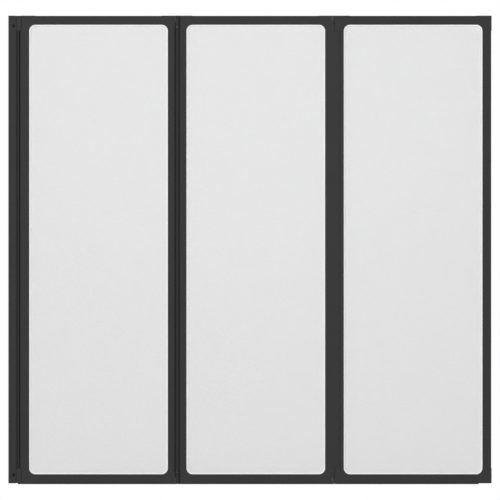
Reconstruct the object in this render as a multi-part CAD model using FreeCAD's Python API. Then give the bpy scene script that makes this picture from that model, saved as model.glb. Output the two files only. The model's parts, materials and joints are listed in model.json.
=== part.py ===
import FreeCAD, Part
import os

# A folding screen for the edge of a bath: three framed panels in a row, hinged to each other
# and to an upright that is fixed to the wall. Seen from the front, +X runs along the screen
# away from the wall, +Y runs through it to the back, +Z is up. The origin is on the wall face,
# in the middle of the screen's height and depth.

# Panels, as seen from the front
frame_depth = 20.0
opening_width = 373.2
opening_height = 1209.6
opening_radius = 16.5
rail_face = 23.7
pivot_stile_face = 21.0
fold_stile_face = 24.6
end_stile_face = 23.6
frame_edge_round = 0.6
end_edge_round = 1.5

# Hollow section of the stiles and rails
section_wall = 1.4
pocket_depth = 7.0
pocket_mouth = 9.0
seal_slot = 4.4

# Upright on the wall
wall_profile_width = 20.8
wall_web = 1.6
wall_flange = 1.7
wall_screw_radius = 2.6
wall_screw_end_inset = 89.1
wall_screw_count = 4
post_play = 0.3
post_back_gap = 4.4
post_stand_out = 0.8
post_end_inset = 0.6
post_lip_reach = 7.2
post_lip_inset = 2.6
post_bead_radius = 1.5
post_bead_reach = 3.1
post_bead_inset = 0.5

# Wall hinge
wall_barrel_radius = 6.8
wall_axis_set_back = 4.0
wall_barrel_bite = 0.2
wall_neck = 8.0
wall_lug_arm = 10.0
wall_hood_depth = 9.0
wall_hood_gap = 0.3
wall_hood_foot_gap = 0.4
wall_pin_radius = 3.0
pivot_edge_round = 3.0
pivot_nose_reach = 5.8
pivot_nose_radius = 5.6

# Fold hinges between the panels
fold_barrel_radius = 4.5
fold_eye_radius = 5.5
fold_axis_proud = 2.5
fold_gap = 0.8
fold_neck = 3.2
fold_pin_radius = 2.5
fold_lip_inset = 7.4
fold_lip_foot = 3.0
fold_lip_drop = 1.6
fold_groove_reach = 8.1
fold_groove_foot = 7.0
fold_groove_drop = 1.4
fold_block_slit = 0.4
lap_reach = 13.8
lap_gap = 0.3

# Clearances of both kinds of hinge
nest_gap = 0.6
pin_play = 0.05
washer_play = 0.1
lug_gap = 0.4

# Heights along a hinge, from the end of the screen inwards
eye_height = 14.0
eye_cap = 2.5
washer_thickness = 0.8
lug_height = 15.4
pin_below_joint = 14.0

# Corner blocks
block_rise = 0.6
block_proud = 0.3
end_block_proud = 1.0
block_corner_round = 1.0
block_groove = 14.0
tenon_length = 26.0
tenon_play = 0.2
pivot_tenon = 8.6
fold_tenon = 5.5
end_tenon = 11.0
left_tenons = [pivot_tenon, fold_tenon, fold_tenon]
right_tenons = [fold_tenon, fold_tenon, end_tenon]

# Sheet and the gasket round it
sheet_thickness = 3.0
sheet_hold = 7.0
gasket_play = 0.2
gasket_web = 1.0
gasket_lip = 3.5
gasket_lip_height = 5.5
gasket_lip_bevel = 1.5
gasket_lip_play = 0.1
gasket_barb = 2.1
gasket_barb_length = 3.0

# Seal under each panel
seal_width = 14.0
seal_drop = 2.5
seal_side = 1.0
seal_bevel = 1.5
seal_channel = 3.0
seal_channel_rise = 1.3
seal_stem_play = 0.2
seal_head_width = 8.4
seal_head_thickness = 1.5
seal_start_lap = 2.8
seal_end_inset = 34.6

# Screws
corner_screw_radius = 1.5
corner_screw_head_radius = 3.0
corner_screw_length = 9.0
corner_screw_inset = 12.0
adjust_screw_radius = 2.0
adjust_screw_head_radius = 3.8
adjust_screw_head = 2.0
adjust_screw_length = 12.0
adjust_screw_hole_play = 0.2
adjust_screw_x = 14.4
adjust_screw_top_inset = 27.5
adjust_screw_bottom_inset = 22.5
recess_width = 0.9
recess_depth = 0.9

# One overrun for every cut, and how near an edge must be to a place to be rounded
overrun = 1.0
edge_reach = 0.05

# Shares of other sizes
pin_chamfer_share = 0.2

# Places worked out from the sizes above
half_depth = frame_depth / 2
half_opening = opening_height / 2
half_height = half_opening + rail_face + block_rise
joint_level = half_opening - opening_radius
eye_level = half_height - eye_height
lug_top = eye_level - washer_thickness
lug_bottom = lug_top - lug_height
chamber_start = section_wall + pocket_depth + section_wall
chamber_depth = frame_depth - 2 * section_wall
block_half_depth = half_depth + block_proud
lap_floor = half_depth - section_wall - lap_gap

post_face_x = wall_profile_width + post_stand_out
wall_axis_x = post_face_x + wall_barrel_radius - wall_barrel_bite
wall_axis_y = wall_axis_set_back
wall_neck_y = wall_axis_y - wall_neck / 2
pivot_body_x = wall_axis_x + wall_barrel_radius - wall_barrel_bite
fold_reach = fold_stile_face + fold_gap / 2
fold_axis_y = half_depth + fold_axis_proud

opening_left = [pivot_body_x + pivot_stile_face]
opening_right = [opening_left[0] + opening_width]
fold_axis_x = []
for panel in range(2):
    fold_axis_x.append(opening_right[panel] + fold_reach)
    opening_left.append(fold_axis_x[panel] + fold_reach)
    opening_right.append(opening_left[panel + 1] + opening_width)

LEFT = -1
RIGHT = 1
FRONT = -1
BACK = 1


def box(x0, x1, y0, y1, z0, z1):
    """A box between two corners, given in any order along X."""
    low_x = min(x0, x1)
    corner = FreeCAD.Vector(low_x, y0, z0)
    return Part.makeBox(abs(x1 - x0), y1 - y0, z1 - z0, corner)


def slab(edge_x, side, t0, t1, half_y, z0, z1):
    """A box beside an opening's edge: t counts outwards from the edge, and it is centred in Y."""
    return box(edge_x + side * t0, edge_x + side * t1, -half_y, half_y, z0, z1)


def rod(x, y, radius, z0, z1):
    """An upright round bar."""
    return Part.makeCylinder(radius, z1 - z0, FreeCAD.Vector(x, y, z0))


def prism(points, z0, z1):
    """An upright bar whose section is a list of X, Y points."""
    corners = [FreeCAD.Vector(x, y, z0) for x, y in points]
    face = Part.Face(Part.makePolygon(corners + corners[:1]))
    return face.extrude(FreeCAD.Vector(0, 0, z1 - z0))


def rounded_plate(x0, x1, z0, z1, radius, half_y):
    """A plate in the plane of the screen with four round corners."""
    plate = box(x0, x1, -half_y, half_y, z0, z1)
    across = [e for e in plate.Edges if e.BoundBox.YLength > half_y]
    return plate.makeFillet(radius, across)


def round_edges(shape, places, radius, axes):
    """Round the straight edges that pass through the places, given along the two named axes."""
    first, second = axes
    chosen = []
    for edge in shape.Edges:
        ends = [vertex.Point for vertex in edge.Vertexes]
        for place in places:
            off = [abs(getattr(p, first) - place[0]) + abs(getattr(p, second) - place[1]) for p in ends]
            if len(ends) == 2 and max(off) < edge_reach:
                chosen.append(edge)
    return shape.makeFillet(radius, chosen)


def mirrored(shape, x=0, y=0, z=0):
    """The shape mirrored in the plane through the origin that is square to the given direction."""
    return shape.mirror(FreeCAD.Vector(0, 0, 0), FreeCAD.Vector(x, y, z))


def ring(section, panel):
    """A closed ring round a panel's opening. The section's points are t, outwards, and y."""
    x0 = opening_left[panel] + opening_radius
    x1 = opening_right[panel] - opening_radius
    z0 = -joint_level
    z1 = joint_level
    corners = [((x1, z1), (1, 0)), ((x0, z1), (0, 1)), ((x0, z0), (-1, 0)), ((x1, z0), (0, -1))]
    parts = []
    for index, (centre, out) in enumerate(corners):
        points = []
        for t, y in section:
            reach = opening_radius + t
            points.append(FreeCAD.Vector(centre[0] + out[0] * reach, y, centre[1] + out[1] * reach))
        face = Part.Face(Part.makePolygon(points + points[:1]))
        pivot = FreeCAD.Vector(centre[0], 0, centre[1])
        parts.append(face.revolve(pivot, FreeCAD.Vector(0, -1, 0), 90))
        before = corners[index - 1][0]
        run = FreeCAD.Vector(before[0] - centre[0], 0, before[1] - centre[1])
        parts.append(face.extrude(run))
    return parts[0].multiFuse(parts[1:]).removeSplitter()


# Sections that follow an opening

def groove_section():
    """The mouth and the wider pocket that a corner block has for the gasket."""
    mouth = pocket_mouth / 2
    pocket = block_groove / 2
    foot = section_wall + pocket_depth
    upper = [(-overrun, mouth), (section_wall, mouth), (section_wall, pocket), (foot, pocket)]
    lower = [(t, -y) for t, y in reversed(upper)]
    return upper + lower


def gasket_section():
    """A soft channel round the sheet's edge, with a raised lip outside and a barb in the pocket."""
    sheet = sheet_thickness / 2
    lip_top = sheet + gasket_lip_height
    side = pocket_mouth / 2 - gasket_play
    barb_start = section_wall + gasket_play
    foot = section_wall + pocket_depth - gasket_play
    upper = [
        (foot - gasket_web, sheet),
        (-gasket_lip, sheet),
        (-gasket_lip, lip_top - gasket_lip_bevel),
        (gasket_lip_bevel - gasket_lip, lip_top),
        (-gasket_lip_play, lip_top),
        (-gasket_lip_play, side),
        (barb_start, side),
        (barb_start, side + gasket_barb),
        (barb_start + gasket_barb_length, side),
        (foot, side),
    ]
    lower = [(t, -y) for t, y in reversed(upper)]
    return upper + lower


# Hollow bars of the frames

def stile(edge_x, side, face, chamber_end):
    """One upright of a frame, with a gasket pocket at the opening and a chamber behind it."""
    z0 = -joint_level
    z1 = joint_level
    low = z0 - overrun
    high = z1 + overrun
    bar = slab(edge_x, side, 0, face, half_depth, z0, z1)
    mouth = slab(edge_x, side, -overrun, section_wall + overrun, pocket_mouth / 2, low, high)
    pocket = slab(edge_x, side, section_wall, section_wall + pocket_depth, chamber_depth / 2, low, high)
    bar = bar.cut(mouth).cut(pocket)
    chamber = slab(edge_x, side, chamber_start, chamber_end, chamber_depth / 2, low, high)
    return bar, chamber


def pivot_stile():
    """Left upright of the first panel: it carries the wall hinge's barrel on a neck, and a
    rounded nose in front of the barrel."""
    edge = opening_left[0]
    bar, chamber = stile(edge, LEFT, pivot_stile_face, pivot_stile_face - section_wall)
    bar = round_edges(bar, [(pivot_body_x, half_depth)], pivot_edge_round, "xy")
    nose_x = pivot_body_x - pivot_nose_reach
    nose = box(nose_x, pivot_body_x, -half_depth, wall_neck_y, -joint_level, joint_level)
    bar = round_edges(bar.fuse(nose).removeSplitter(), [(nose_x, -half_depth)], pivot_nose_radius, "xy")
    bar = bar.cut(chamber).cut(nose_chamber(nose_x + pivot_nose_radius))
    barrel = wall_eye(-joint_level, joint_level)
    return bar.fuse(barrel).cut(wall_bore(-joint_level, joint_level)).removeSplitter()


def nose_chamber(centre_x):
    """The hollow inside the nose, which opens into the stile's chamber."""
    low = -joint_level - overrun
    high = joint_level + overrun
    centre_y = pivot_nose_radius - half_depth
    radius = pivot_nose_radius - section_wall
    hollow = rod(centre_x, centre_y, radius, low, high)
    far_x = pivot_body_x + section_wall + overrun
    inner = chamber_depth / 2
    return hollow.common(box(centre_x - radius, far_x, -inner, wall_neck_y - section_wall, low, high))


def wall_eye(z0, z1):
    """A length of the wall hinge's barrel with the neck that joins it to the first panel."""
    far_x = pivot_body_x + section_wall
    neck = box(wall_axis_x, far_x, wall_neck_y, wall_neck_y + wall_neck, z0, z1)
    return rod(wall_axis_x, wall_axis_y, wall_barrel_radius, z0, z1).fuse(neck)


def wall_bore(z0, z1):
    """The bore for the wall hinge's pins."""
    return rod(wall_axis_x, wall_axis_y, wall_pin_radius + pin_play, z0 - overrun, z1 + overrun)


def nest_stile(axis_x):
    """Right upright of a panel: the next panel's barrel nests in its front edge, and a flange
    along its back edge laps over the joint."""
    edge = axis_x - fold_reach
    bar, chamber = stile(edge, RIGHT, fold_stile_face, fold_stile_face - section_wall)
    low = -joint_level - overrun
    high = joint_level + overrun
    nest = fold_barrel_radius + nest_gap
    shell = rod(axis_x, -fold_axis_y, nest + section_wall, low, high)
    step_y = -half_depth + fold_lip_drop + section_wall
    step = box(axis_x - fold_lip_inset, axis_x, -half_depth, step_y, low, high)
    bar = bar.cut(chamber.cut(shell).cut(step))
    bar = bar.cut(rod(axis_x, -fold_axis_y, nest, low, high)).cut(lip_bevel(axis_x, low, high))
    inner_y = half_depth - section_wall
    root_x = axis_x - fold_lip_foot
    lap = box(root_x, axis_x + lap_reach, inner_y, half_depth, lap_gap - joint_level, joint_level - lap_gap)
    bar = bar.fuse(lap).removeSplitter()
    return round_edges(bar, [(axis_x + lap_reach, half_depth)], frame_edge_round, "xy")


def lip_bevel(axis_x, z0, z1):
    """What is taken off the front edge beside the barrel's nest."""
    foot_x = axis_x - fold_lip_foot
    points = [
        (axis_x - fold_lip_inset, -half_depth),
        (foot_x, -half_depth + fold_lip_drop),
        (foot_x, -block_half_depth - overrun),
        (axis_x - fold_lip_inset, -block_half_depth - overrun),
    ]
    return prism(points, z0, z1)


def barrel_stile(axis_x):
    """Left upright of a panel that carries the fold hinge's barrel along its front edge."""
    edge = axis_x + fold_reach
    bar, chamber = stile(edge, LEFT, fold_stile_face, fold_stile_face - section_wall)
    low = -joint_level - overrun
    high = joint_level + overrun
    shell = rod(axis_x, -fold_axis_y, fold_barrel_radius + section_wall, low, high)
    step_y = -half_depth + fold_groove_drop + section_wall
    step = box(axis_x, axis_x + fold_groove_reach + section_wall, -half_depth, step_y, low, high)
    chamber = chamber.cut(shell).cut(step).cut(lap_recess(axis_x, section_wall, low, high))
    bar = bar.cut(chamber).cut(face_groove(axis_x, low, high)).cut(lap_recess(axis_x, 0, low, high))
    bar = bar.fuse(fold_barrel(axis_x, -joint_level, joint_level))
    return bar.cut(fold_bore(axis_x, -joint_level, joint_level)).removeSplitter()


def fold_barrel(axis_x, z0, z1):
    """A length of a fold hinge's barrel with the neck behind it that joins it to its panel."""
    neck_x = axis_x + fold_gap / 2
    neck = box(neck_x, neck_x + fold_neck, -fold_axis_y, -half_depth + fold_groove_drop, z0, z1)
    return rod(axis_x, -fold_axis_y, fold_barrel_radius, z0, z1).fuse(neck)


def lap_recess(axis_x, grow, z0, z1):
    """The room for the neighbour's flange along the back edge, or with grow the walls round it."""
    far_x = axis_x + lap_reach + lap_gap + grow
    return box(axis_x, far_x, lap_floor - grow, block_half_depth + overrun, z0, z1)


def face_groove(axis_x, z0, z1):
    """What is taken off the front face between the barrel and the flat of its stile."""
    far_y = -block_half_depth - overrun
    floor_y = -half_depth + fold_groove_drop
    points = [
        (axis_x, far_y),
        (axis_x + fold_groove_reach, far_y),
        (axis_x + fold_groove_reach, -half_depth),
        (axis_x + fold_groove_foot, floor_y),
        (axis_x, floor_y),
    ]
    return prism(points, z0, z1)


def fold_bore(axis_x, z0, z1):
    """The bore for a fold hinge's pins."""
    return rod(axis_x, -fold_axis_y, fold_pin_radius + pin_play, z0 - overrun, z1 + overrun)


def end_stile():
    """The screen's free upright, a plain hollow bar with rounded outer edges."""
    edge = opening_right[2]
    bar, chamber = stile(edge, RIGHT, end_stile_face, end_stile_face - section_wall)
    outer = [(edge + end_stile_face, -half_depth), (edge + end_stile_face, half_depth)]
    return round_edges(bar, outer, end_edge_round, "xy").cut(chamber)


def top_rail(panel):
    """One cross bar of a frame, above the opening."""
    x0 = opening_left[panel] + opening_radius
    x1 = opening_right[panel] - opening_radius
    low = x0 - overrun
    high = x1 + overrun
    top = half_opening + rail_face
    inner = chamber_depth / 2
    bar = box(x0, x1, -half_depth, half_depth, half_opening, top)
    bar = round_edges(bar, [(-half_depth, top), (half_depth, top)], frame_edge_round, "yz")
    mouth_top = half_opening + section_wall + overrun
    mouth = box(low, high, -pocket_mouth / 2, pocket_mouth / 2, half_opening - overrun, mouth_top)
    pocket_top = half_opening + section_wall + pocket_depth
    pocket = box(low, high, -inner, inner, half_opening + section_wall, pocket_top)
    chamber = box(low, high, -inner, inner, half_opening + chamber_start, top - section_wall)
    return bar.cut(mouth).cut(pocket).cut(chamber)


def bottom_rail(panel):
    """The cross bar below the opening, with a slot along its underside for the seal."""
    bar = mirrored(top_rail(panel), z=1)
    x0 = opening_left[panel] + opening_radius - overrun
    x1 = opening_right[panel] - opening_radius + overrun
    under = -half_opening - rail_face
    slot = box(x0, x1, -seal_slot / 2, seal_slot / 2, under - overrun, under + section_wall + overrun)
    return bar.cut(slot)


# Corner blocks, each made at the top of its panel and mirrored for the bottom

def block_core(panel, side, out, tenon):
    """An L-shaped corner with a concave inner fillet, a gasket groove and two tenons."""
    edge = opening_left[panel] if side == LEFT else opening_right[panel]
    core = slab(edge, side, -opening_radius, out, block_half_depth, joint_level, half_height)
    hole = rounded_plate(
        opening_left[panel],
        opening_right[panel],
        -half_opening,
        half_opening,
        opening_radius,
        block_half_depth + overrun,
    )
    core = core.cut(hole).cut(ring(groove_section(), panel))
    half_y = chamber_depth / 2 - tenon_play
    start = chamber_start + tenon_play
    root = joint_level + overrun
    leg = slab(edge, side, start, start + tenon - tenon_play, half_y, joint_level - tenon_length, root)
    arm_x0 = edge - side * (opening_radius - overrun)
    arm_x1 = edge - side * (opening_radius + tenon_length)
    arm_z0 = half_opening + chamber_start + tenon_play
    arm_z1 = half_opening + rail_face - section_wall - tenon_play
    arm = box(arm_x0, arm_x1, -half_y, half_y, arm_z0, arm_z1)
    return core.fuse(leg).fuse(arm)


def pivot_block():
    """Top left corner of the first panel, with the wall hinge's eye and a length of its barrel."""
    block = block_core(0, LEFT, pivot_stile_face, pivot_tenon)
    outer = [(pivot_body_x, -block_half_depth), (pivot_body_x, block_half_depth)]
    block = round_edges(block, outer, block_corner_round, "xy")
    radius = wall_barrel_radius + nest_gap
    block = block.cut(rod(wall_axis_x, wall_axis_y, radius, lug_bottom - lug_gap, eye_level))
    block = block.fuse(wall_eye(eye_level, half_height))
    block = block.fuse(wall_eye(joint_level, lug_bottom - lug_gap))
    bore = rod(wall_axis_x, wall_axis_y, wall_pin_radius + pin_play, joint_level, half_height - eye_cap)
    return block.cut(bore).removeSplitter()


def nest_block(panel):
    """Top right corner of a panel, with the lug that holds the fold hinge's pin."""
    axis_x = fold_axis_x[panel]
    block = block_core(panel, RIGHT, fold_stile_face, fold_tenon)
    nest = fold_barrel_radius + nest_gap
    block = block.cut(rod(axis_x, -fold_axis_y, nest, joint_level, lug_bottom))
    block = block.cut(lip_bevel(axis_x, joint_level, lug_bottom))
    end_x = axis_x - fold_eye_radius - fold_block_slit
    far_y = block_half_depth + overrun
    block = block.cut(box(end_x, axis_x, -far_y, far_y, lug_top, half_height + overrun))
    block = block.fuse(rod(axis_x, -fold_axis_y, fold_eye_radius, lug_bottom, lug_top))
    return block.cut(fold_bore(axis_x, lug_bottom, lug_top)).removeSplitter()


def barrel_block(panel):
    """Top left corner of a panel; the fold hinge's eye is round at the front and square behind."""
    axis_x = fold_axis_x[panel - 1]
    block = block_core(panel, LEFT, fold_stile_face, fold_tenon)
    block = block.cut(face_groove(axis_x, joint_level, half_height))
    leg_low = joint_level - tenon_length - overrun
    block = block.cut(lap_recess(axis_x, section_wall + tenon_play, leg_low, joint_level))
    clear = fold_eye_radius + nest_gap
    low_eye_top = lug_bottom - lug_gap
    block = block.cut(rod(axis_x, -fold_axis_y, clear, low_eye_top, eye_level))
    block = block.fuse(rod(axis_x, -fold_axis_y, fold_eye_radius, eye_level, half_height))
    eye_x = axis_x - fold_eye_radius
    body_x = axis_x + fold_gap / 2
    block = block.fuse(box(eye_x, body_x, -fold_axis_y, block_half_depth, eye_level, half_height))
    block = block.fuse(fold_barrel(axis_x, joint_level, low_eye_top))
    bore = rod(axis_x, -fold_axis_y, fold_pin_radius + pin_play, joint_level, half_height - eye_cap)
    return block.cut(bore).removeSplitter()


def end_block():
    """Top right corner of the last panel, a little proud of the stile at the free edge."""
    out = end_stile_face + end_block_proud
    block = block_core(2, RIGHT, out, end_tenon)
    outer_x = opening_right[2] + out
    return round_edges(block, [(outer_x, half_height)], block_corner_round, "xz")


# What the frames hold

def sheet(panel):
    """The translucent sheet, which runs into the frame on all sides."""
    return rounded_plate(
        opening_left[panel] - sheet_hold,
        opening_right[panel] + sheet_hold,
        -half_opening - sheet_hold,
        half_opening + sheet_hold,
        opening_radius + sheet_hold,
        sheet_thickness / 2,
    )


def bottom_seal(panel):
    """A two-lipped strip under the panel, held by a T-shaped head in the rail's slot."""
    starts = [wall_axis_x - seal_start_lap] + [x + fold_gap / 2 for x in fold_axis_x]
    end_x = opening_right[2] + end_stile_face + end_block_proud - seal_end_inset
    ends = [x - fold_gap / 2 for x in fold_axis_x] + [end_x]
    half = seal_width / 2
    right_half = [
        (half, 0),
        (half, -seal_side),
        (half - seal_bevel, -seal_drop),
        (seal_channel, -seal_drop),
        (seal_channel / 2, -seal_channel_rise),
    ]
    outline = right_half + [(-y, z) for y, z in reversed(right_half)]
    points = [FreeCAD.Vector(starts[panel], y, z - half_height) for y, z in outline]
    face = Part.Face(Part.makePolygon(points + points[:1]))
    strip = face.extrude(FreeCAD.Vector(ends[panel] - starts[panel], 0, 0))
    inset = opening_radius + tenon_length + overrun
    x0 = opening_left[panel] + inset
    x1 = opening_right[panel] - inset
    head_z = -half_opening - rail_face + section_wall
    stem_y = seal_slot / 2 - seal_stem_play
    stem = box(x0, x1, -stem_y, stem_y, -half_height, head_z)
    half_head = seal_head_width / 2
    head = box(x0, x1, -half_head, half_head, head_z, head_z + seal_head_thickness)
    return strip.fuse(stem).fuse(head).removeSplitter()


# Wall side

def wall_profile():
    """A channel with its web on the wall; the post slides in it, which takes up a wall out of plumb."""
    outer = half_depth + wall_flange
    z0 = -half_height
    bar = box(0, wall_profile_width, -outer, outer, z0, half_height)
    far_x = wall_profile_width + overrun
    bar = bar.cut(box(wall_web, far_x, -half_depth, half_depth, z0 - overrun, half_height + overrun))
    bar = round_edges(bar, [(wall_profile_width, -outer), (wall_profile_width, outer)], frame_edge_round, "xy")
    end_z = half_height - wall_screw_end_inset
    for step in range(wall_screw_count):
        z = end_z - step * 2 * end_z / (wall_screw_count - 1)
        place = FreeCAD.Vector(-overrun, 0, z)
        length = wall_web + 2 * overrun
        bar = bar.cut(Part.makeCylinder(wall_screw_radius, length, place, FreeCAD.Vector(1, 0, 0)))
    for z in adjust_screw_levels():
        place = FreeCAD.Vector(adjust_screw_x, -outer - overrun, z)
        length = wall_flange + 2 * overrun
        radius = adjust_screw_radius + adjust_screw_hole_play
        bar = bar.cut(Part.makeCylinder(radius, length, place, FreeCAD.Vector(0, 1, 0)))
    return bar


def adjust_screw_levels():
    """The heights of the two screws that fix the post in the wall profile."""
    return [half_height - adjust_screw_top_inset, adjust_screw_bottom_inset - half_height]


def post_body(z0, z1):
    """A solid length of the post, up to the face beside the hinge."""
    half_y = half_depth - post_play
    return box(wall_web + post_back_gap, post_face_x, -half_y, half_y, z0, z1)


def wall_nest(z0, z1):
    """The hollow along the post's face that the wall hinge's barrel turns in."""
    return rod(wall_axis_x, wall_axis_y, wall_barrel_radius + nest_gap, z0, z1)


def post_chamber(play, z0, z1):
    """The space inside the post, or with play the tenon that goes into it."""
    half_y = half_depth - post_play - section_wall - play
    x0 = wall_web + post_back_gap + section_wall + play
    x1 = wall_profile_width - section_wall - play
    return box(x0, x1, -half_y, half_y, z0, z1)


def wall_post():
    """The hollow upright inside the wall profile; a lip with a bead hides the hinge in front."""
    low = -joint_level - overrun
    high = joint_level + overrun
    bar = post_body(-joint_level, joint_level)
    bar = bar.cut(post_chamber(0, low, high)).cut(wall_nest(low, high))
    lip_y = -half_depth + post_lip_inset
    lip_x = post_face_x - section_wall
    far_x = post_face_x + post_lip_reach
    bar = bar.fuse(box(lip_x, far_x, lip_y, lip_y + section_wall, -joint_level, joint_level))
    bead_y = -half_depth + post_bead_inset + post_bead_radius
    bead = rod(post_face_x + post_bead_reach, bead_y, post_bead_radius, -joint_level, joint_level)
    return bar.fuse(bead).removeSplitter()


def post_block(screw_level):
    """Top end of the post: a lug holds the wall hinge's pin, and a hood hides the hinge in front."""
    top = half_height - post_end_inset
    block = post_body(joint_level, top)
    root_x = wall_profile_width - section_wall
    hood_y = -half_depth + wall_hood_depth
    foot = joint_level + wall_hood_foot_gap
    block = block.fuse(box(root_x, post_face_x, post_play - half_depth, hood_y, joint_level, top))
    block = block.fuse(box(post_face_x, pivot_body_x - wall_hood_gap, -half_depth, hood_y, foot, top))
    block = block.cut(wall_nest(joint_level, lug_bottom)).cut(wall_nest(lug_top, top))
    block = block.fuse(post_chamber(tenon_play, joint_level - tenon_length, joint_level + overrun))
    arm_y = wall_axis_y - wall_lug_arm / 2
    arm = box(post_face_x - wall_flange, wall_axis_x, arm_y, arm_y + wall_lug_arm, lug_bottom, lug_top)
    block = block.fuse(arm).fuse(rod(wall_axis_x, wall_axis_y, wall_barrel_radius, lug_bottom, lug_top))
    block = block.cut(wall_bore(lug_bottom, lug_top))
    place = FreeCAD.Vector(adjust_screw_x, -half_depth, screw_level)
    pilot = Part.makeCylinder(
        adjust_screw_radius + pin_play, adjust_screw_length, place, FreeCAD.Vector(0, 1, 0)
    )
    return block.cut(pilot).removeSplitter()


# Pins, washers and screws

def hinge_pin(x, y, radius):
    """A top hinge pin, from the closed eye through washer and lug into the barrel."""
    tip = half_height - eye_cap - pin_play
    pin = rod(x, y, radius, joint_level - pin_below_joint, tip)
    return pin.makeChamfer(radius * pin_chamfer_share, [e for e in pin.Edges if len(e.Vertexes) == 1])


def hinge_washers(x, y, outer, pin_radius):
    """The two washers between eye and lug, at the top and at the bottom."""
    ring_top = rod(x, y, outer, lug_top, eye_level)
    ring_top = ring_top.cut(rod(x, y, pin_radius + washer_play, lug_top, eye_level))
    return Part.makeCompound([ring_top, mirrored(ring_top, z=1)])


def cross_recess(x, y, z, inwards, radius):
    """The cross that a screwdriver fits, cut into a head whose face is at y."""
    half = recess_width / 2
    y0 = min(y - inwards * overrun, y + inwards * recess_depth)
    y1 = max(y - inwards * overrun, y + inwards * recess_depth)
    wide = box(x - radius, x + radius, y0, y1, z - half, z + half)
    return wide.fuse(box(x - half, x + half, y0, y1, z - radius, z + radius))


def corner_screw(x, y, z, play):
    """A countersunk screw whose head is flush with the frame's back, or with play its hole."""
    radius = corner_screw_radius + play
    head = corner_screw_head_radius + play
    back = FreeCAD.Vector(x, y, z)
    inwards = FreeCAD.Vector(0, -1, 0)
    cone = Part.makeCone(head, radius, section_wall, back, inwards)
    shank = Part.makeCylinder(radius, corner_screw_length, back, inwards)
    return cone.fuse(shank).removeSplitter()


def corner_screws(panel):
    """All the screws that hold one panel's corners together."""
    screws = []
    for x, y, z in screw_places(panel):
        screw = corner_screw(x, y, z, 0)
        screws.append(screw.cut(cross_recess(x, y, z, FRONT, corner_screw_radius)))
    return Part.makeCompound(screws)


def screw_places(panel):
    """Where a panel's corner screws enter the backs of its stiles and rails."""
    places = []
    rail_z = half_opening + (chamber_start + rail_face - section_wall) / 2
    tenons = [(LEFT, left_tenons[panel]), (RIGHT, right_tenons[panel])]
    for side, tenon in tenons:
        edge = opening_left[panel] if side == LEFT else opening_right[panel]
        stile_x = edge + side * (chamber_start + tenon_play + tenon / 2)
        rail_x = edge - side * (opening_radius + corner_screw_inset)
        stile_y = lap_floor if panel == 1 and side == LEFT else half_depth
        places.append((stile_x, stile_y, joint_level - corner_screw_inset))
        places.append((rail_x, half_depth, rail_z))
    return places + [(x, y, -z) for x, y, z in places]


def with_screw_holes(piece, panel):
    """The piece with every corner screw's countersunk hole that falls on it."""
    bounds = piece.BoundBox
    for x, y, z in screw_places(panel):
        if bounds.XMin < x < bounds.XMax and bounds.ZMin < z < bounds.ZMax:
            piece = piece.cut(corner_screw(x, y, z, pin_play))
    return piece


def adjust_screws():
    """The two pan-head screws on the front of the wall profile."""
    outer_y = -half_depth - wall_flange
    screws = []
    for z in adjust_screw_levels():
        inwards = FreeCAD.Vector(0, 1, 0)
        face = FreeCAD.Vector(adjust_screw_x, outer_y - adjust_screw_head, z)
        head = Part.makeCylinder(adjust_screw_head_radius, adjust_screw_head, face, inwards)
        rim = [e for e in head.Edges if len(e.Vertexes) == 1 and e.Vertexes[0].Y < outer_y - adjust_screw_head / 2]
        head = head.makeFillet(adjust_screw_head / 2, rim)
        seat = FreeCAD.Vector(adjust_screw_x, outer_y, z)
        shank = Part.makeCylinder(adjust_screw_radius, adjust_screw_length, seat, inwards)
        screw = head.fuse(shank).removeSplitter()
        recess = cross_recess(adjust_screw_x, face.y, z, BACK, adjust_screw_radius)
        screws.append(screw.cut(recess))
    return Part.makeCompound(screws)


def save(node, shape):
    """Write one node, after a check that it is sound."""
    if not shape.isValid() or not shape.Solids:
        raise ValueError(node + " is not a sound solid")
    shape.exportStep("parts/" + node + ".step")


def save_pair(node, shape):
    """Write a top corner and its mirror image at the bottom."""
    save(node.replace("LEVEL", "top"), shape)
    save(node.replace("LEVEL", "bottom"), mirrored(shape, z=1))


def save_wall_side():
    """The pieces that stay on the wall, and the wall hinge's washers and pins."""
    save("wall_profile", wall_profile())
    save("wall_post", wall_post())
    top_level, bottom_level = adjust_screw_levels()
    save("wall_post_top_block", post_block(top_level))
    save("wall_post_bottom_block", mirrored(post_block(-bottom_level), z=1))
    save("wall_post_screws", adjust_screws())
    washers = hinge_washers(wall_axis_x, wall_axis_y, wall_barrel_radius, wall_pin_radius)
    save("wall_hinge_washers", washers)
    save_pair("wall_hinge_LEVEL_pin", hinge_pin(wall_axis_x, wall_axis_y, wall_pin_radius))


def save_fold_hinges():
    """Washers and pins of the two fold hinges: the first is at the front, the second at the back."""
    for fold, side in enumerate([FRONT, BACK]):
        x = fold_axis_x[fold]
        y = side * fold_axis_y
        name = "fold_hinge_" + str(fold + 1)
        save(name + "_washers", hinge_washers(x, y, fold_eye_radius, fold_pin_radius))
        save_pair(name + "_LEVEL_pin", hinge_pin(x, y, fold_pin_radius))


def panel_uprights(panel):
    """A panel's two stiles and two top blocks; what belongs to the second fold faces the back."""
    if panel == 0:
        left_pieces = [pivot_stile(), pivot_block()]
    else:
        left_pieces = [barrel_stile(fold_axis_x[panel - 1]), barrel_block(panel)]
    if panel == 2:
        left_pieces = [mirrored(piece, y=1) for piece in left_pieces]
        right_pieces = [end_stile(), end_block()]
    else:
        right_pieces = [nest_stile(fold_axis_x[panel]), nest_block(panel)]
    if panel == 1:
        right_pieces = [mirrored(piece, y=1) for piece in right_pieces]
    return left_pieces, right_pieces


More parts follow.
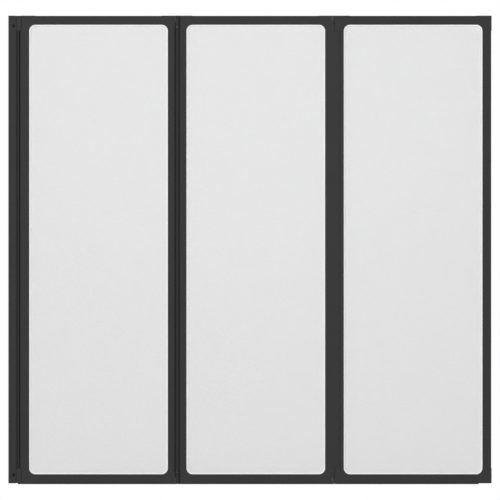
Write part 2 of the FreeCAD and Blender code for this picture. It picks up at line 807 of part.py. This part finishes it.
def save_panel(panel):
    """One framed panel."""
    name = "panel_" + str(panel + 1)
    left_pieces, right_pieces = panel_uprights(panel)
    save(name + "_left_stile", with_screw_holes(left_pieces[0], panel))
    save(name + "_right_stile", with_screw_holes(right_pieces[0], panel))
    save_pair(name + "_LEVEL_left_block", with_screw_holes(left_pieces[1], panel))
    save_pair(name + "_LEVEL_right_block", with_screw_holes(right_pieces[1], panel))
    save(name + "_top_rail", with_screw_holes(top_rail(panel), panel))
    save(name + "_bottom_rail", with_screw_holes(bottom_rail(panel), panel))
    save(name + "_corner_screws", corner_screws(panel))
    save(name + "_gasket", ring(gasket_section(), panel))
    save(name + "_sheet", sheet(panel))
    save(name + "_bottom_seal", bottom_seal(panel))


os.makedirs("parts", exist_ok=True)
save_wall_side()
save_fold_hinges()
for panel in range(3):
    save_panel(panel)
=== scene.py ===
import bpy
import json
import math
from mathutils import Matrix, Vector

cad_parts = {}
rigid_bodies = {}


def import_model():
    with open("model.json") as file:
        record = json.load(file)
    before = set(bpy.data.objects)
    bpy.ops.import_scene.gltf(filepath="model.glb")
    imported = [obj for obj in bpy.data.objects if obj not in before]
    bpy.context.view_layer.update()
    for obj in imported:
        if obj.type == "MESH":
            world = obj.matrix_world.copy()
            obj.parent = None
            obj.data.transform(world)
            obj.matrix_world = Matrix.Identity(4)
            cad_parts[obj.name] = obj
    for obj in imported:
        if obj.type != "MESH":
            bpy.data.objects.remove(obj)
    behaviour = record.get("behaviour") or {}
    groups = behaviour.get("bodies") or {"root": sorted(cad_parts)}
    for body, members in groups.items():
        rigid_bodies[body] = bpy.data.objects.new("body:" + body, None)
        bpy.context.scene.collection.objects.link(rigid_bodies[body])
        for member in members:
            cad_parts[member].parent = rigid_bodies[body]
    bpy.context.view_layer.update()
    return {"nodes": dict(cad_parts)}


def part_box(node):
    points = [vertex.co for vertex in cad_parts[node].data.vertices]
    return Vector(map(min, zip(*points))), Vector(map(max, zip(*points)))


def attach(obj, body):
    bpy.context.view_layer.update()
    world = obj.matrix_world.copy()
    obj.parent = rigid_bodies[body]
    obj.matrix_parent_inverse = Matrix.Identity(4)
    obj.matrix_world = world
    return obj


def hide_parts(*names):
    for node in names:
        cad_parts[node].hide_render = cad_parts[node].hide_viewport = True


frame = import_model()
nodes = frame["nodes"]

# The setting. The screen hangs at the height at which it stands on the edge of a bath, above a
# plain pale floor. It is seen square on, from so far away that the picture is almost free of
# perspective, and lit by soft lamps: one on the left, one straight in front, one high behind.
scene = bpy.context.scene
scene.view_settings.view_transform = "Standard"

middle_x = 0.65
picture_width = 1.346
picture_middle_z = -0.0014
camera_distance = 16.0
sensor_width = 36
view_limit = 100
quarter_turn = math.radians(90)
camera_data = bpy.data.cameras.new("camera")
camera_data.sensor_width = sensor_width
camera_data.lens = sensor_width * camera_distance / picture_width
camera_data.clip_end = view_limit
camera = bpy.data.objects.new("camera", camera_data)
camera.location = (middle_x, -camera_distance, picture_middle_z)
camera.rotation_euler = (quarter_turn, 0, 0)
scene.collection.objects.link(camera)
scene.camera = camera


def soft_lamp(name, place, size, power):
    """A square studio lamp that faces the middle of the screen."""
    lamp_data = bpy.data.lights.new(name, "AREA")
    lamp_data.size = size
    lamp_data.energy = power
    lamp = bpy.data.objects.new(name, lamp_data)
    lamp.location = place
    aim_x, aim_y, aim_z = middle_x - place[0], -place[1], -place[2]
    tilt = math.atan2(math.hypot(aim_x, aim_y), -aim_z)
    lamp.rotation_euler = (tilt, 0, math.atan2(aim_y, aim_x) - quarter_turn)
    scene.collection.objects.link(lamp)


soft_lamp("lamp_left", place=(-1.6, -6.0, 2.4), size=2.4, power=86)
soft_lamp("lamp_front", place=(0.9, -7.0, 0.6), size=3.0, power=170)
soft_lamp("lamp_back", place=(0.4, 3.4, 3.4), size=2.4, power=150)

white = (1, 1, 1, 1)
seen_strength = 1.0
soft_strength = 0.38
world = bpy.data.worlds.new("studio")
scene.world = world
world.use_nodes = True
sky = world.node_tree
sky.nodes.clear()
sky_out = sky.nodes.new("ShaderNodeOutputWorld")
sky_mix = sky.nodes.new("ShaderNodeMixShader")
sky_seen = sky.nodes.new("ShaderNodeBackground")
sky_seen.inputs["Color"].default_value = white
sky_seen.inputs["Strength"].default_value = seen_strength
sky_soft = sky.nodes.new("ShaderNodeBackground")
sky_soft.inputs["Color"].default_value = white
sky_soft.inputs["Strength"].default_value = soft_strength
sky_path = sky.nodes.new("ShaderNodeLightPath")
sky_gloss = sky.nodes.new("ShaderNodeMath")
sky_gloss.operation = "MAXIMUM"
sky_through = sky.nodes.new("ShaderNodeMath")
sky_through.operation = "MAXIMUM"
sky.links.new(sky_path.outputs["Is Camera Ray"], sky_gloss.inputs[0])
sky.links.new(sky_path.outputs["Is Glossy Ray"], sky_gloss.inputs[1])
sky.links.new(sky_gloss.outputs[0], sky_through.inputs[0])
sky.links.new(sky_path.outputs["Is Transmission Ray"], sky_through.inputs[1])
sky.links.new(sky_through.outputs[0], sky_mix.inputs[0])
sky.links.new(sky_soft.outputs[0], sky_mix.inputs[1])
sky.links.new(sky_seen.outputs[0], sky_mix.inputs[2])
sky.links.new(sky_mix.outputs[0], sky_out.inputs["Surface"])

floor_level = -1.2
floor_radius = 12
floor_grey = (0.86, 0.86, 0.86, 1)
floor_place = (middle_x, 0, floor_level)
bpy.ops.object.select_all(action="DESELECT")
bpy.ops.mesh.primitive_circle_add(
    vertices=96, radius=floor_radius, fill_type="NGON", location=floor_place)
floor = bpy.context.object
floor.name = "floor"
floor_paint = bpy.data.materials.new("floor_paint")
floor_paint.use_nodes = True
floor_shader = floor_paint.node_tree.nodes["Principled BSDF"]
floor_shader.inputs["Base Color"].default_value = floor_grey
floor_shader.inputs["Roughness"].default_value = 0.9
floor.data.materials.append(floor_paint)


# Wall profile, post, stiles and rails. They are aluminium extrusions with a black powder coat,
# which has a fine orange-peel grain. Its edges are painted lighter in patches, partly as wear
# and partly as a painted highlight. The bars are cut to length and slide over the tenons of the
# corner blocks.
def grained_black(name, black, edge_tone_wear_highlight, grain, peel, satin, shine=0.30):
    """A black finish with a fine grain: paint, plastic or oxide. Its edges are lighter in patches,
    partly as wear and partly as a painted highlight.
    """
    edge_width = 0.0005
    grain_height = 0.0001
    material = bpy.data.materials.new(name)
    material.use_nodes = True
    tree = material.node_tree
    shader = tree.nodes["Principled BSDF"]
    place = tree.nodes.new("ShaderNodeTexCoord")
    edge = tree.nodes.new("ShaderNodeBevel")
    edge.samples = 4
    edge.inputs["Radius"].default_value = edge_width
    surface = tree.nodes.new("ShaderNodeNewGeometry")
    flatness = tree.nodes.new("ShaderNodeVectorMath")
    flatness.operation = "DOT_PRODUCT"
    tree.links.new(edge.outputs["Normal"], flatness.inputs[0])
    tree.links.new(surface.outputs["Normal"], flatness.inputs[1])
    # Edge mask: the edges get a lighter colour, partly as wear and partly as a painted highlight.
    edge_mask_worn_lit = tree.nodes.new("ShaderNodeMapRange")
    edge_mask_worn_lit.inputs["From Min"].default_value = 0.995
    edge_mask_worn_lit.inputs["From Max"].default_value = 0.80
    tree.links.new(flatness.outputs["Value"], edge_mask_worn_lit.inputs["Value"])
    patches = tree.nodes.new("ShaderNodeTexNoise")
    patches.inputs["Scale"].default_value = 9
    patches.inputs["Detail"].default_value = 5
    patches.inputs["Roughness"].default_value = 0.6
    tree.links.new(place.outputs["Object"], patches.inputs["Vector"])
    patchy_worn_lit_edges = tree.nodes.new("ShaderNodeMath")
    patchy_worn_lit_edges.operation = "MULTIPLY"
    tree.links.new(edge_mask_worn_lit.outputs["Result"], patchy_worn_lit_edges.inputs[0])
    tree.links.new(patches.outputs["Fac"], patchy_worn_lit_edges.inputs[1])
    tone = tree.nodes.new("ShaderNodeValToRGB")
    tone.color_ramp.elements[0].position = 0.35
    tone.color_ramp.elements[0].color = (*[c * 0.90 for c in black], 1)
    tone.color_ramp.elements[1].position = 0.70
    tone.color_ramp.elements[1].color = (*[c * 1.12 for c in black], 1)
    tree.links.new(patches.outputs["Fac"], tone.inputs["Fac"])
    # The lighter edge colour mixed in here is partly wear and partly a painted highlight.
    coat = tree.nodes.new("ShaderNodeMix")
    coat.data_type = "RGBA"
    tree.links.new(patchy_worn_lit_edges.outputs[0], coat.inputs[0])
    tree.links.new(tone.outputs["Color"], coat.inputs[6])
    coat.inputs[7].default_value = (*edge_tone_wear_highlight, 1)
    tree.links.new(coat.outputs[2], shader.inputs["Base Color"])
    grains = tree.nodes.new("ShaderNodeTexNoise")
    grains.inputs["Scale"].default_value = grain
    grains.inputs["Detail"].default_value = 3
    tree.links.new(place.outputs["Object"], grains.inputs["Vector"])
    gloss = tree.nodes.new("ShaderNodeMapRange")
    gloss.inputs["To Min"].default_value = satin - 0.05
    gloss.inputs["To Max"].default_value = satin + 0.06
    tree.links.new(patches.outputs["Fac"], gloss.inputs["Value"])
    tree.links.new(gloss.outputs["Result"], shader.inputs["Roughness"])
    bumps = tree.nodes.new("ShaderNodeBump")
    bumps.inputs["Strength"].default_value = peel
    bumps.inputs["Distance"].default_value = grain_height
    tree.links.new(grains.outputs["Fac"], bumps.inputs["Height"])
    tree.links.new(edge.outputs["Normal"], bumps.inputs["Normal"])
    tree.links.new(bumps.outputs["Normal"], shader.inputs["Normal"])
    shader.inputs["Specular IOR Level"].default_value = shine
    return material


def finish_nodes(names, material):
    """Give CAD pieces their finish."""
    for name in names:
        mesh = nodes[name].data
        mesh.materials.clear()
        mesh.materials.append(material)


coat_black = (0.0090, 0.0091, 0.0094)
coat_edges_worn_lit = (0.030, 0.0303, 0.031)
black_coat = grained_black(
    "black_powder_coat", coat_black, coat_edges_worn_lit, grain=1400, peel=0.22, satin=0.60)
bars = ["wall_profile", "wall_post"]
for panel in ("panel_1", "panel_2", "panel_3"):
    bars += [panel + part for part in ("_left_stile", "_right_stile", "_top_rail", "_bottom_rail")]
finish_nodes(bars, black_coat)


# Corner blocks and post ends. They are injection moulded in black glass-filled nylon with a fine
# spark-eroded grain, a shade lighter than the coated bars, and are held by screws from behind.
# The nylon's edges are painted lighter too, partly as wear and partly as a painted highlight.
nylon_black = (0.0098, 0.0099, 0.0101)
nylon_edges_worn_lit = (0.026, 0.026, 0.0265)
moulded_nylon = grained_black(
    "black_moulded_nylon", nylon_black, nylon_edges_worn_lit, grain=2600, peel=0.25, satin=0.59)
blocks = ["wall_post_top_block", "wall_post_bottom_block"]
for panel in ("panel_1", "panel_2", "panel_3"):
    blocks += [panel + part for part in ("_top_left_block", "_top_right_block")]
    blocks += [panel + part for part in ("_bottom_left_block", "_bottom_right_block")]
finish_nodes(blocks, moulded_nylon)


# Sheets. Each is one whitish translucent sheet of polystyrene, 3 mm thick, pressed with a close
# pattern of small drops so that it blurs what is behind it. The gasket holds it on all sides.
def pressed_sheet():
    """Milky plastic with a pressed pattern of drops."""
    drops_per_metre = 190
    drop_width_share = 0.72
    drop_wander = 0.004
    drop_depth = 0.0010
    thin_milk = (0.762, 0.764, 0.764, 1)
    thick_milk = (0.742, 0.744, 0.744, 1)
    material = bpy.data.materials.new("milky_pressed_plastic")
    material.use_nodes = True
    tree = material.node_tree
    shader = tree.nodes["Principled BSDF"]
    place = tree.nodes.new("ShaderNodeTexCoord")
    wavy = tree.nodes.new("ShaderNodeTexNoise")
    wavy.inputs["Scale"].default_value = 60
    wavy.inputs["Detail"].default_value = 2
    tree.links.new(place.outputs["Object"], wavy.inputs["Vector"])
    shift = tree.nodes.new("ShaderNodeVectorMath")
    shift.operation = "MULTIPLY_ADD"
    shift.inputs[1].default_value = (drop_wander, drop_wander, drop_wander)
    tree.links.new(wavy.outputs["Color"], shift.inputs[0])
    tree.links.new(place.outputs["Object"], shift.inputs[2])
    stretch = tree.nodes.new("ShaderNodeMapping")
    stretch.inputs["Scale"].default_value = (drop_width_share, 1, 1)
    tree.links.new(shift.outputs["Vector"], stretch.inputs["Vector"])
    drops = tree.nodes.new("ShaderNodeTexVoronoi")
    drops.feature = "SMOOTH_F1"
    drops.inputs["Scale"].default_value = drops_per_metre
    drops.inputs["Smoothness"].default_value = 0.55
    tree.links.new(stretch.outputs["Vector"], drops.inputs["Vector"])
    fine = tree.nodes.new("ShaderNodeTexNoise")
    fine.inputs["Scale"].default_value = 900
    fine.inputs["Detail"].default_value = 2
    tree.links.new(place.outputs["Object"], fine.inputs["Vector"])
    relief = tree.nodes.new("ShaderNodeMath")
    relief.operation = "MULTIPLY_ADD"
    relief.inputs[1].default_value = 0.12
    tree.links.new(fine.outputs["Fac"], relief.inputs[0])
    tree.links.new(drops.outputs["Distance"], relief.inputs[2])
    bumps = tree.nodes.new("ShaderNodeBump")
    bumps.invert = True
    bumps.inputs["Strength"].default_value = 0.12
    bumps.inputs["Distance"].default_value = drop_depth
    tree.links.new(relief.outputs[0], bumps.inputs["Height"])
    tree.links.new(bumps.outputs["Normal"], shader.inputs["Normal"])
    milk = tree.nodes.new("ShaderNodeValToRGB")
    milk.color_ramp.elements[0].position = 0.05
    milk.color_ramp.elements[0].color = thin_milk
    milk.color_ramp.elements[1].position = 0.60
    milk.color_ramp.elements[1].color = thick_milk
    tree.links.new(drops.outputs["Distance"], milk.inputs["Fac"])
    tree.links.new(milk.outputs["Color"], shader.inputs["Base Color"])
    haze = tree.nodes.new("ShaderNodeMapRange")
    haze.inputs["To Min"].default_value = 0.30
    haze.inputs["To Max"].default_value = 0.42
    tree.links.new(wavy.outputs["Fac"], haze.inputs["Value"])
    tree.links.new(haze.outputs["Result"], shader.inputs["Roughness"])
    shader.inputs["Transmission Weight"].default_value = 0.18
    shader.inputs["IOR"].default_value = 1.5
    return material


milky_sheet = pressed_sheet()
finish_nodes(["panel_1_sheet", "panel_2_sheet", "panel_3_sheet"], milky_sheet)


# Gaskets. One soft white plastic channel wraps each sheet's edge and is pushed into the frame's
# pocket, where barbs hold it. What shows is its raised round lip, which lies against the bars.
def soft_white_plastic():
    """Slightly dusty flexible plastic."""
    dusty_white = (0.93, 0.93, 0.926, 1)
    clean_white = (0.955, 0.955, 0.952, 1)
    skin_height = 0.0001
    material = bpy.data.materials.new("soft_white_plastic")
    material.use_nodes = True
    tree = material.node_tree
    shader = tree.nodes["Principled BSDF"]
    place = tree.nodes.new("ShaderNodeTexCoord")
    dust = tree.nodes.new("ShaderNodeTexNoise")
    dust.inputs["Scale"].default_value = 45
    dust.inputs["Detail"].default_value = 6
    tree.links.new(place.outputs["Object"], dust.inputs["Vector"])
    tone = tree.nodes.new("ShaderNodeValToRGB")
    tone.color_ramp.elements[0].position = 0.3
    tone.color_ramp.elements[0].color = dusty_white
    tone.color_ramp.elements[1].position = 0.7
    tone.color_ramp.elements[1].color = clean_white
    tree.links.new(dust.outputs["Fac"], tone.inputs["Fac"])
    tree.links.new(tone.outputs["Color"], shader.inputs["Base Color"])
    gloss = tree.nodes.new("ShaderNodeMapRange")
    gloss.inputs["To Min"].default_value = 0.36
    gloss.inputs["To Max"].default_value = 0.50
    tree.links.new(dust.outputs["Fac"], gloss.inputs["Value"])
    tree.links.new(gloss.outputs["Result"], shader.inputs["Roughness"])
    skin = tree.nodes.new("ShaderNodeTexNoise")
    skin.inputs["Scale"].default_value = 1100
    tree.links.new(place.outputs["Object"], skin.inputs["Vector"])
    bumps = tree.nodes.new("ShaderNodeBump")
    bumps.inputs["Strength"].default_value = 0.12
    bumps.inputs["Distance"].default_value = skin_height
    tree.links.new(skin.outputs["Fac"], bumps.inputs["Height"])
    tree.links.new(bumps.outputs["Normal"], shader.inputs["Normal"])
    return material


start_size = 0.001


def extrude_by(x, y, z):
    """Extrude what is selected along a line."""
    bpy.ops.mesh.extrude_region_move(TRANSFORM_OT_translate={"value": (x, y, z)})


def trace_profile(points):
    """Draw a closed section from point to point and fill it."""
    bpy.ops.mesh.primitive_plane_add(size=start_size, location=points[0])
    bpy.ops.mesh.merge(type="CENTER")
    for before, after in zip(points, points[1:]):
        extrude_by(*[b - a for a, b in zip(before, after)])
    bpy.ops.mesh.select_linked()
    bpy.ops.mesh.edge_face_add()


def new_piece(name):
    """An empty mesh at the origin, open in edit mode."""
    bpy.ops.object.select_all(action="DESELECT")
    bpy.ops.mesh.primitive_plane_add(size=start_size)
    piece = bpy.context.object
    piece.name = name
    bpy.ops.object.mode_set(mode="EDIT")
    bpy.ops.mesh.delete(type="VERT")
    return piece


def gasket(name, node, body):
    """A ring round an opening, swept along four straights and four corners."""
    lowest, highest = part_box(node)
    radius = 0.0165
    foot = 0.0082
    left, right = lowest.x + foot + radius, highest.x - foot - radius
    low, high = lowest.z + foot + radius, highest.z - foot - radius
    channel_depth = 0.0072
    half_sheet = 0.0015
    weld_reach = 0.00002
    half = [
        (-0.0035, half_sheet), (-0.0038, 0.0019), (-0.0038, 0.0050), (-0.0036, 0.0060),
        (-0.0030, 0.0067), (-0.0020, 0.0070), (-0.00005, 0.0071), (-0.00005, 0.0043),
        (0.0016, 0.0043), (0.0016, 0.0062), (0.0020, 0.0063), (0.0044, 0.0044),
        (0.0080, 0.0043), (foot, 0.0040),
    ]
    other_half = [(t, -y) for t, y in reversed(half)]
    section = [(channel_depth, half_sheet)] + half + other_half + [(channel_depth, -half_sheet)]
    piece = new_piece(name)
    trace_profile([(left, y, high + radius + t) for t, y in section])
    corner_steps = 14
    turns = [
        ((right - left, 0, 0), (right, 0, high)),
        ((0, 0, low - high), (right, 0, low)),
        ((left - right, 0, 0), (left, 0, low)),
        ((0, 0, high - low), (left, 0, high)),
    ]
    for run, centre in turns:
        extrude_by(*run)
        bpy.ops.mesh.spin(steps=corner_steps, angle=-quarter_turn, center=centre, axis=(0, 1, 0))
    bpy.ops.mesh.select_all(action="DESELECT")
    bpy.ops.mesh.select_face_by_sides(number=4, type="GREATER", extend=False)
    bpy.ops.mesh.delete(type="ONLY_FACE")
    bpy.ops.mesh.select_all(action="SELECT")
    bpy.ops.mesh.remove_doubles(threshold=weld_reach)
    bpy.ops.mesh.normals_make_consistent(inside=False)
    bpy.ops.object.mode_set(mode="OBJECT")
    bpy.ops.object.shade_smooth_by_angle(angle=math.radians(32))
    bpy.ops.object.transform_apply()
    piece.data.materials.append(white_gasket)
    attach(piece, body)
    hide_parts(node)


white_gasket = soft_white_plastic()
for panel in ("panel_1", "panel_2", "panel_3"):
    gasket(panel + "_gasket_lip", panel + "_gasket", panel)


# Bottom seals. Each is one black rubber extrusion with a T-shaped head, slid into the slot of the
# bottom rail before the corners go on. Two soft lips under it wipe along the edge of the bath.
def black_rubber():
    """Matt rubber with faint lines along the way it was extruded."""
    rubber_black = (0.011, 0.011, 0.0115, 1)
    dusty_black = (0.020, 0.020, 0.021, 1)
    line_height = 0.0001
    material = bpy.data.materials.new("black_rubber")
    material.use_nodes = True
    tree = material.node_tree
    shader = tree.nodes["Principled BSDF"]
    place = tree.nodes.new("ShaderNodeTexCoord")
    along = tree.nodes.new("ShaderNodeMapping")
    along.inputs["Scale"].default_value = (6, 1500, 1500)
    tree.links.new(place.outputs["Object"], along.inputs["Vector"])
    lines = tree.nodes.new("ShaderNodeTexNoise")
    lines.inputs["Scale"].default_value = 1
    lines.inputs["Detail"].default_value = 4
    tree.links.new(along.outputs["Vector"], lines.inputs["Vector"])
    tone = tree.nodes.new("ShaderNodeValToRGB")
    tone.color_ramp.elements[0].position = 0.3
    tone.color_ramp.elements[0].color = rubber_black
    tone.color_ramp.elements[1].position = 0.75
    tone.color_ramp.elements[1].color = dusty_black
    tree.links.new(lines.outputs["Fac"], tone.inputs["Fac"])
    tree.links.new(tone.outputs["Color"], shader.inputs["Base Color"])
    gloss = tree.nodes.new("ShaderNodeMapRange")
    gloss.inputs["To Min"].default_value = 0.62
    gloss.inputs["To Max"].default_value = 0.80
    tree.links.new(lines.outputs["Fac"], gloss.inputs["Value"])
    tree.links.new(gloss.outputs["Result"], shader.inputs["Roughness"])
    bumps = tree.nodes.new("ShaderNodeBump")
    bumps.inputs["Strength"].default_value = 0.25
    bumps.inputs["Distance"].default_value = line_height
    tree.links.new(lines.outputs["Fac"], bumps.inputs["Height"])
    tree.links.new(bumps.outputs["Normal"], shader.inputs["Normal"])
    return material


def bottom_seal(name, node, body):
    """The strip with its two wiping lips, and the head that hangs in the rail's slot."""
    lowest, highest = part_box(node)
    length = highest.x - lowest.x
    lip_drop = 0.0025
    head_inset = 0.0745
    base = lowest.z + lip_drop
    strip = [
        (0.0070, 0), (0.0070, -0.0008), (0.0067, -0.0013), (0.0060, -0.0022), (0.0056, -0.00245),
        (0.0050, -lip_drop), (0.0037, -lip_drop), (0.0032, -0.0023), (0.0026, -0.0017),
        (0.0014, -0.0013),
    ]
    strip += [(-y, z) for y, z in reversed(strip)]
    head = [(0.0020, 0), (0.0020, 0.0020), (0.0042, 0.0020), (0.0042, 0.0030), (0.0034, 0.0035)]
    head += [(-y, z) for y, z in reversed(head)]
    piece = new_piece(name)
    trace_profile([(lowest.x, y, base + z) for y, z in strip])
    extrude_by(length, 0, 0)
    bpy.ops.mesh.select_all(action="DESELECT")
    trace_profile([(lowest.x + head_inset, y, base + z) for y, z in head])
    extrude_by(length - 2 * head_inset, 0, 0)
    bpy.ops.mesh.select_all(action="SELECT")
    bpy.ops.mesh.normals_make_consistent(inside=False)
    bpy.ops.object.mode_set(mode="OBJECT")
    bpy.ops.object.shade_smooth_by_angle(angle=math.radians(35))
    bpy.ops.object.transform_apply()
    piece.data.materials.append(seal_rubber)
    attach(piece, body)
    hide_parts(node)


seal_rubber = black_rubber()
for panel in ("panel_1", "panel_2", "panel_3"):
    bottom_seal(panel + "_seal_strip", panel + "_bottom_seal", panel)


# Screws. The frames have countersunk cross-head screws behind, and the wall profile has two
# pan-head ones in front. They are steel with a black oxide. Their black is darker than the bars',
# partly as the oxide and partly as painted shade for the recesses the heads sit in. Their edges
# are painted lighter in patches, partly as wear and partly as a painted highlight.
oxide_black_and_recess_shade = (0.005, 0.005, 0.0052)
oxide_edges_worn_lit = (0.030, 0.030, 0.031)
black_oxide = grained_black(
    "black_oxide_steel", oxide_black_and_recess_shade, oxide_edges_worn_lit, grain=3000, peel=0.10, satin=0.55, shine=0.10)
screws = ["wall_post_screws", "panel_1_corner_screws", "panel_2_corner_screws", "panel_3_corner_screws"]
finish_nodes(screws, black_oxide)


# Hinge pins and washers. The pins are turned from stainless steel and pressed into the blocks.
# The washers are black nylon and lie between a lug and an eye.
def turned_steel():
    """Bright steel with fine rings round its length."""
    dull_steel = (0.46, 0.46, 0.47, 1)
    bright_steel = (0.62, 0.62, 0.63, 1)
    material = bpy.data.materials.new("turned_steel")
    material.use_nodes = True
    tree = material.node_tree
    shader = tree.nodes["Principled BSDF"]
    shader.inputs["Metallic"].default_value = 1.0
    place = tree.nodes.new("ShaderNodeTexCoord")
    around = tree.nodes.new("ShaderNodeMapping")
    around.inputs["Scale"].default_value = (40, 40, 6000)
    tree.links.new(place.outputs["Object"], around.inputs["Vector"])
    rings = tree.nodes.new("ShaderNodeTexNoise")
    rings.inputs["Scale"].default_value = 1
    rings.inputs["Detail"].default_value = 3
    tree.links.new(around.outputs["Vector"], rings.inputs["Vector"])
    tone = tree.nodes.new("ShaderNodeValToRGB")
    tone.color_ramp.elements[0].color = dull_steel
    tone.color_ramp.elements[1].color = bright_steel
    tree.links.new(rings.outputs["Fac"], tone.inputs["Fac"])
    tree.links.new(tone.outputs["Color"], shader.inputs["Base Color"])
    gloss = tree.nodes.new("ShaderNodeMapRange")
    gloss.inputs["To Min"].default_value = 0.22
    gloss.inputs["To Max"].default_value = 0.38
    tree.links.new(rings.outputs["Fac"], gloss.inputs["Value"])
    tree.links.new(gloss.outputs["Result"], shader.inputs["Roughness"])
    return material


pin_steel = turned_steel()
# The washers' edges are painted lighter, partly as wear and partly as a painted highlight.
washer_black = (0.020, 0.020, 0.020)
washer_edges_worn_lit = (0.030, 0.030, 0.030)
washer_nylon = grained_black(
    "black_washer_nylon", washer_black, washer_edges_worn_lit, grain=1800, peel=0.08, satin=0.45)
for hinge in ("wall_hinge", "fold_hinge_1", "fold_hinge_2"):
    finish_nodes([hinge + "_top_pin", hinge + "_bottom_pin"], pin_steel)
    finish_nodes([hinge + "_washers"], washer_nylon)
